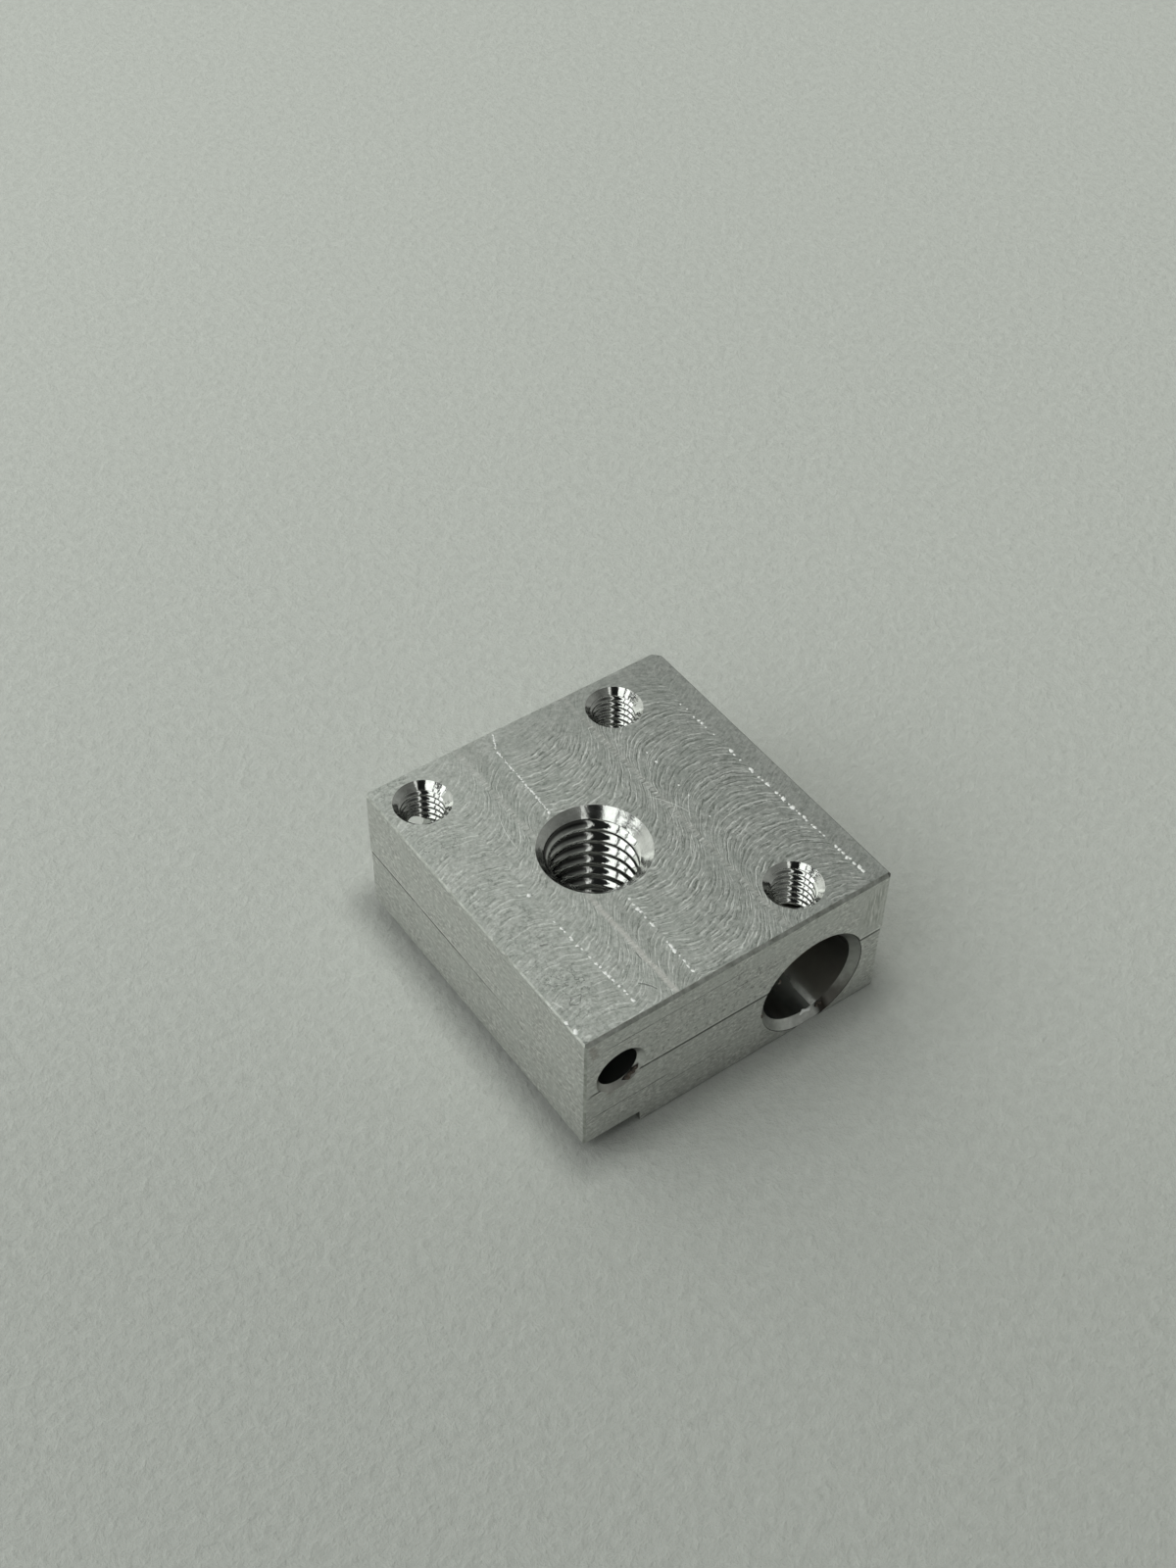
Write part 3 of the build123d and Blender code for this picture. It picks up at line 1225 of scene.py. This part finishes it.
@dataclass
class Burr:
    """A ragged roll of torn metal or residue along part of a bore's mouth.

    Angles in degrees round the bore, from +X towards +Z.  Lengths in millimetres: reach is how
    far the roll's middle lies outside the bore's wall, depth how far behind the front, and thick
    its radius.  lumps is how uneven it is.
    """

    name: str
    bore: str
    start: float
    end: float
    reach: float
    depth: float
    thick: float
    seed: int
    lumps: float = 0.55
    rings: int = 40
    columns: int = 14

    def build(self, finish: Finish) -> bpy.types.Object:
        """Carries a lumpy round section along an arc of the mouth.

        Point (u, v): the arc's point at the share u, plus a circle in the plane of the bore's
        radius and axis at the angle v.  Its radius is thick * sin(pi u) ^ 0.6 times one plus
        lumps times a sum of sine waves in u and v with seeded phases, kept between 0.15 and 2.2.

        Args:
            finish: finish of the burr.

        Returns:
            The new object.
        """
        rng = np.random.default_rng(self.seed)
        u = np.linspace(0.0, 1.0, self.rings)[:, None]
        v = np.linspace(0, 2 * np.pi, self.columns + 1)[None, :-1]
        lump = np.zeros(np.broadcast(u, v).shape)
        for wave in range(1, 7):
            phase = rng.uniform(0, 2 * np.pi, 3)
            ripple = np.sin(wave * 5.1 * u + phase[0] + (wave % 3) * v + phase[1])
            lump += ripple * rng.uniform(0.25, 0.6) / wave**0.5
        section = self.thick * np.sin(np.pi * u) ** 0.6 * np.clip(1 + self.lumps * lump, 0.15, 2.2)
        angle = np.radians(self.start + (self.end - self.start) * u)
        axis = place(self.bore)
        r = radius_of(self.bore) / MM + self.reach + section * np.cos(v)
        y = self.depth + 0.05 * np.sin(9 * u + self.seed) - section * np.sin(v)
        x, z = axis[0] + r * np.cos(angle) * MM, axis[2] + r * np.sin(angle) * MM
        grid = np.clip(np.stack([x, LOW[1] + y * MM, z], -1), LOW, HIGH)
        corners, faces = mesh_from_grid(grid, False, True)
        made = make_object(self.name, corners, [faces])
        made.data.materials.append(finish.material)
        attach(made, "root")
        return made


# ----------------------------------------------------------------------------------- studio


class Glow(Enum):
    """Colours of the studio's lights."""

    DAYLIGHT = "#fbfffc"
    NEUTRAL = "#fdfffc"
    ROOM = "#fbfff8"


@dataclass
class Studio:
    """Floor, soft light and camera.  None of it belongs to the block.

    Lengths in metres. A bar is two directions, and a glow a direction, a strength and the power
    that narrows it. A card is given by its edges to the left, right, bottom and top of its
    middle.  foot_shade is the share of its brightness that the floor keeps at the foot of the
    block, foot_reach how far that shade reaches, and floor_turn the depths between which the
    floor's tone changes.
    """

    eye: tuple[float, float, float] = (-0.05154, -0.066662, 0.10366)
    ahead: tuple[float, float, float] = (0.4047, 0.55142, -0.72948)
    upward: tuple[float, float, float] = (0.41555, 0.5997, 0.68386)
    lens: float = 51.105
    sensor: float = 36.0
    window_azimuth: float = -92.0
    window_elevation: float = 46.0
    window_distance: float = 2.0
    window_size: tuple[float, float] = (2.5, 2.2)
    window_power: float = 24.5
    bar_half: float = 0.06
    bar_gap: float = 0.05
    bar_overrun: float = 2.0
    bars: tuple[tuple[float, float, float, float], ...] = (
        (-81.5, 37.0, -93.0, 62.0),
        (-104.0, 32.5, -116.0, 58.0),
        (-123.5, 25.5, -138.0, 47.0),
        (-60.0, 30.5, -120.0, 30.5),
        (-60.0, 62.0, -140.0, 62.0),
    )

    room: float = 0.33
    darkest: float = 0.02
    glows: tuple[tuple[float, float, float, float], ...] = (
        (-166.0, 35.0, 1.0, 5.0),
        (38.0, 60.0, -0.3, 6.0),
        (0.0, 90.0, 4.3, 40.0),
    )

    card: tuple[float, float, float, float] = (-0.027, 0.026, -0.10, 0.17)
    card_lean: float = math.radians(14)
    card_gap: float = 0.003
    sleeve: tuple[float, float, float, float] = (-0.12, 0.12, -0.045, 0.03)
    sleeve_drop: float = 0.10
    slim_size: tuple[float, float] = (0.014, 0.17)
    slim_spot: tuple[float, float] = (0.038, 0.04)
    slim_power: float = 0.006

    floor_half: float = 1.2
    floor_gap: float = 0.01 * MM
    tooth: float = 1400.0
    tooth_depth: float = 0.16 * MM
    foot_shade: float = 0.66
    foot_reach: float = 2.6 * MM
    floor_turn: tuple[float, float] = (-0.025, 0.004)

    def toward(self, azimuth: float, elevation: float) -> np.ndarray:
        """Gives the unit direction from the block to a place in the room."""
        a, e = math.radians(azimuth), math.radians(elevation)
        return np.array([math.sin(a) * math.cos(e), -math.cos(a) * math.cos(e), math.sin(e)])

    def facing(self, azimuth: float, elevation: float) -> np.ndarray:
        """Finds the axes of a panel that looks at the block.

        Args:
            azimuth: azimuth of the panel in degrees.
            elevation: elevation of the panel in degrees.

        Returns:
            Its right, up and back axes as columns.
        """
        back = self.toward(azimuth, elevation)
        right = np.cross([0.0, 0.0, 1.0], back)
        right /= np.linalg.norm(right)
        return np.stack([right, np.cross(back, right), back], -1)

    def panel(self, name: str, corners: np.ndarray, colour: str, rough: float) -> bpy.types.Object:
        """Makes a flat staged panel from four corners.

        Args:
            name: name of the object.
            corners: array of four corners.
            colour: colour as hex.
            rough: roughness.

        Returns:
            The new object.
        """
        made = make_object(name, corners, [np.array([[0, 1, 2, 3]])], False)
        paint = bpy.data.materials.new(name)
        paint.use_nodes = True
        tree = paint.node_tree
        tree.nodes.clear()
        inputs = {"Base Color": linear(colour), "Roughness": rough}
        put(tree, "OutputMaterial", [put(tree, "BsdfPrincipled", inputs)])
        made.data.materials.append(paint)
        return made

    def board(
        self,
        name: str,
        middle: np.ndarray,
        axes: tuple[np.ndarray, np.ndarray],
        edges: tuple[float, float, float, float],
        colour: str,
        rough: float,
    ) -> bpy.types.Object:
        """Makes a rectangular panel that the camera doesn't see.

        Args:
            name: name of the object.
            middle: point that the edges are measured from.
            axes: directions along the panel to the right and upwards.
            edges: distances of the left, right, bottom and top edges.
            colour: colour as hex.
            rough: roughness.

        Returns:
            The new object.
        """
        (side, rise), (left, right, low, high) = axes, edges
        places = ((left, low), (right, low), (right, high), (left, high))
        corners = np.stack([middle + side * across + rise * up for across, up in places])
        made = self.panel(name, corners, colour, rough)
        made.visible_camera = False
        return made

    def floor(self) -> None:
        """Lays a plain matt floor a hair under the block.

        It is a little darker towards the camera, with painted shade.
        """
        z, half = float(LOW[2]) - self.floor_gap, self.floor_half
        corners = np.array([[-half, -half, z], [half, -half, z], [half, half, z], [-half, half, z]])
        floor = self.panel("studio_floor", corners, "#cfd2cc", 0.9)
        tree = floor.data.materials[0].node_tree
        # A pebbled tooth, under a millimetre across.
        where = put(tree, "TexCoord", out="Object")
        tooth = put(tree, "TexNoise", [where, None, self.tooth, 4.0, 0.7])
        # A soft dark rim round the foot of the block deepens its contact shade.
        out = put(tree, "VectorMath", [where], operation="ABSOLUTE")
        out = put(tree, "VectorMath", [out, tuple(HIGH)], operation="SUBTRACT")
        out = put(tree, "VectorMath", [out, (0.0, 0.0, -1.0)], operation="MAXIMUM")
        out = put(tree, "VectorMath", [out, (1.0, 1.0, 0.0)], operation="MULTIPLY")
        gap = put(tree, "VectorMath", [out], out="Value", operation="LENGTH")
        ramp = {"interpolation_type": "SMOOTHSTEP"}
        rim = put(tree, "MapRange", [gap, 0.0, self.foot_reach, self.foot_shade, 1.0], **ramp)
        # Painted shade: the floor darkens towards the camera.
        along = tuple(np.array([self.ahead[0], self.ahead[1], 0.0]) / math.hypot(*self.ahead[:2]))
        depth = put(tree, "VectorMath", [where, along], out="Value", operation="DOT_PRODUCT")
        farther = put(tree, "MapRange", [depth, *self.floor_turn], **ramp)
        shades = {0: farther, 6: linear("#b9bbb7"), 7: linear("#c2c4c0")}
        fair = put(tree, "Mix", shades, out=2, data_type="RGBA")
        pit = put(tree, "MapRange", [tooth, 0.3, 0.7, 0.92, 1.05])
        pit = put(tree, "Math", [pit, rim], operation="MULTIPLY")
        tone = put(tree, "VectorMath", {0: fair, 3: pit}, operation="SCALE")
        bump = put(tree, "Bump", {"Height": tooth, "Distance": self.tooth_depth})
        shader = next(n for n in tree.nodes if n.type == "BSDF_PRINCIPLED")
        tree.links.new(tone, shader.inputs["Base Color"])
        tree.links.new(bump, shader.inputs["Normal"])

    def lamp(
        self,
        name: str,
        size: tuple[float, float],
        power: float,
        colour: Glow,
        axes: np.ndarray,
        spot: np.ndarray,
    ) -> None:
        """Hangs a rectangular light that the camera doesn't see.

        Args:
            name: name of the light.
            size: width and height.
            power: power in watts.
            colour: its colour.
            axes: its right, up and back axes as columns; it shines against the last.
            spot: its place.
        """
        light = bpy.data.lights.new(name, "AREA")
        light.shape = "RECTANGLE"
        light.size, light.size_y = size
        light.energy = power
        light.color = linear(colour.value)[:3]
        made = bpy.data.objects.new(name, light)
        made.matrix_world = Matrix.Translation(Vector(spot)) @ Matrix(axes.tolist()).to_4x4()
        made.visible_camera = False
        bpy.context.scene.collection.objects.link(made)

    def window(self) -> None:
        """Hangs a big soft light behind a grid of dark bars, like a paned window.

        The bars show in bright metal and nowhere else.
        """
        axes = self.facing(self.window_azimuth, self.window_elevation)
        spot = axes[:, 2] * self.window_distance
        self.lamp("window_light", self.window_size, self.window_power, Glow.DAYLIGHT, axes, spot)
        near = self.window_distance - self.bar_gap
        for number, (a0, e0, a1, e1) in enumerate(self.bars):
            ends = []
            for azimuth, elevation in ((a0, e0), (a1, e1)):
                way = self.toward(azimuth, elevation)
                ends.append(way * near / float(way @ axes[:, 2]))
            along = (ends[1] - ends[0]) / np.linalg.norm(ends[1] - ends[0])
            side = np.cross(along, axes[:, 2]) * self.bar_half
            first, last = ends[0] - along * self.bar_overrun, ends[1] + along * self.bar_overrun
            corners = np.stack([first - side, last - side, last + side, first + side])
            bar = self.panel(f"window_bar_{number}", corners, "#20221f", 0.8)
            bar.visible_camera = bar.visible_diffuse = bar.visible_shadow = False

    def cards(self) -> None:
        """Stands a dark card behind the lens with a slim light beside it, and a card below.

        A camera and the hand that holds it show as a dark stripe in the bright metal, with a
        thin line of light along one side.  The card below, like a sleeve, keeps some of the room
        off the floor in front of the block and doesn't show in the metal.
        """
        eye, ahead, upward = (np.array(v) for v in (self.eye, self.ahead, self.upward))
        right = np.cross(ahead, upward)
        rise = upward * math.cos(self.card_lean) - right * math.sin(self.card_lean)
        side = upward * math.sin(self.card_lean) + right * math.cos(self.card_lean)
        middle = eye - ahead * self.card_gap
        self.board("lens_card", middle, (side, rise), self.card, "#16171a", 0.7)
        foot = eye - upward * self.sleeve_drop
        sleeve = self.board("sleeve_card", foot, (right, upward), self.sleeve, "#2a2b2d", 0.9)
        sleeve.visible_glossy = False
        axes = np.stack([side, rise, -ahead], -1)
        spot = middle + side * self.slim_spot[0] + rise * self.slim_spot[1]
        self.lamp("slim_light", self.slim_size, self.slim_power, Glow.NEUTRAL, axes, spot)

    def air(self) -> None:
        """Fills the room with soft light.

        It is a plain level plus, for each glow, its strength times a power of the cosine of the
        angle to its middle, and never less than the darkest level.  The glows are a pale side
        behind the block, a dimmer place high at the front right, and a bright patch overhead.
        """
        world = bpy.data.worlds.new("room")
        world.use_nodes = True
        bpy.context.scene.world = world
        tree = world.node_tree
        tree.nodes.clear()
        way = put(tree, "TexCoord", out="Generated")
        light = self.room
        for azimuth, elevation, strength, power in self.glows:
            toward = tuple(self.toward(azimuth, elevation))
            lobe = put(tree, "VectorMath", [way, toward], out="Value", operation="DOT_PRODUCT")
            lobe = put(tree, "Math", [lobe, 0.0], operation="MAXIMUM")
            lobe = put(tree, "Math", [lobe, power], operation="POWER")
            light = put(tree, "Math", [lobe, strength, light], operation="MULTIPLY_ADD")
        light = put(tree, "Math", [light, self.darkest], operation="MAXIMUM")
        glow = put(tree, "Background", [linear(Glow.ROOM.value), light])
        put(tree, "OutputWorld", [glow])

    def camera(self) -> None:
        """Sets the camera on the block."""
        data = bpy.data.cameras.new("view")
        data.lens, data.sensor_width = self.lens, self.sensor
        data.clip_start, data.clip_end = 0.005, 10.0
        made = bpy.data.objects.new("view", data)
        ahead, upward = Vector(self.ahead).normalized(), Vector(self.upward).normalized()
        right = ahead.cross(upward).normalized()
        upward = right.cross(ahead)
        turn = Matrix((right, upward, -ahead)).transposed().to_4x4()
        made.matrix_world = Matrix.Translation(Vector(self.eye)) @ turn
        bpy.context.scene.collection.objects.link(made)
        bpy.context.scene.camera = made
        bpy.context.scene.view_settings.view_transform = "Standard"

    def build(self) -> None:
        """Sets up the whole studio."""
        self.floor()
        self.window()
        self.cards()
        self.air()
        self.camera()


def main() -> None:
    """Builds the block, its grains and burrs, and the studio."""
    logging.basicConfig(level=logging.INFO, format="%(message)s")
    pieces = [Block().build(), Grains().build()]
    Studio().build()
    crust, bright = BurntCrust(), BrightGrain()
    burrs = [
        (Burr("sensor_mouth_residue", "sensor_bore", -80.0, -26.0, 0.08, 0.2, 0.14, 21), crust),
        (Burr("heater_mouth_residue", "heater_bore", -76.0, -67.0, 0.1, 0.4, 0.1, 22), crust),
        # The white roll along the lower inner edge of the heater bore is a painted glint.
        (Burr("heater_mouth_glint", "heater_bore", -95.0, -79.0, 0.07, 0.5, 0.11, 23, 0.18), bright),
        (Burr("upper_left_burr", "heater_bore", 139.0, 146.0, 0.03, 0.04, 0.07, 24), crust),
        (Burr("left_burr", "heater_bore", 182.0, 190.0, 0.5, 0.05, 0.07, 25), crust),
    ]
    pieces += [burr.build(finish) for burr, finish in burrs]
    for piece in pieces:
        LOG.info("%s built, %d faces", piece.name, len(piece.data.polygons))


if __name__ == "__main__":
    main()
